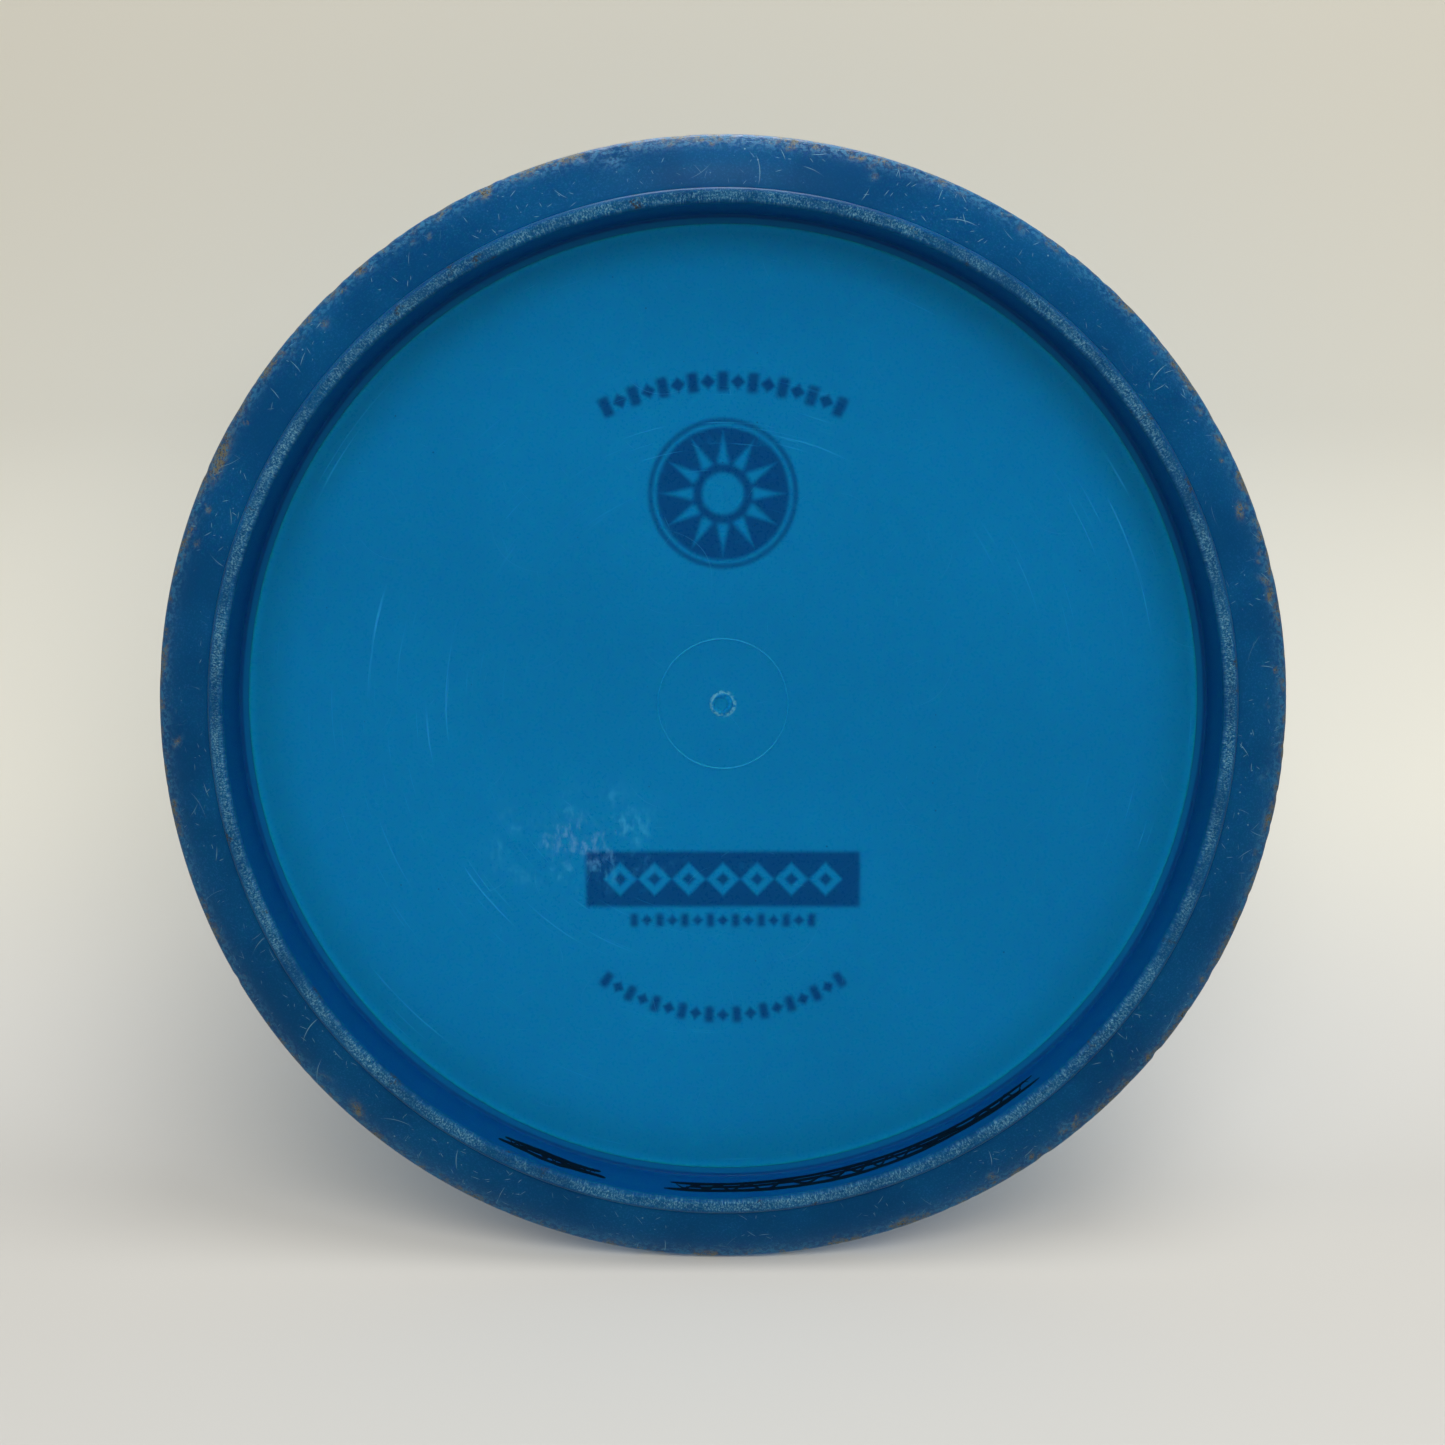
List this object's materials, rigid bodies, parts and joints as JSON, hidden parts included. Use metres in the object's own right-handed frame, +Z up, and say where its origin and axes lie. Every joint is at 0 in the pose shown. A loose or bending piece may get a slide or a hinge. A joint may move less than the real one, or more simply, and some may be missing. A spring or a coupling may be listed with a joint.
{
  "type": "flying disc",
  "caption": "Used mid-range flying disc of translucent blue plastic, with a thick rounded rim, an edge bead and a shallow domed plate hot-stamped on top.",
  "frame": {"origin": "centre of the plane that the disc rests on when it lies on its rim", "axes": "+Z up out of the printed top of the flight plate; +Y towards the top of the print; +X to its right, seen from above"},
  "size_m": [0.217, 0.217, 0.0178],
  "materials": {
    "blue_plastic": "translucent polyurethane-like plastic, semi-gloss, scuffed along the bead and nose",
    "stamp_foil": "hot-stamped pigment foil, satin",
    "marker_ink": "dried permanent marker"
  },
  "bodies": {
    "root": {"rim": "blue_plastic", "flight_plate": "blue_plastic", "stamp_upper_arc": "stamp_foil", "stamp_emblem": "stamp_foil", "stamp_bar": "stamp_foil", "stamp_line": "stamp_foil", "stamp_lower_arc": "stamp_foil", "ink_scribble_long": "marker_ink", "ink_scribble_short": "marker_ink"}
  },
  "joints": []
}
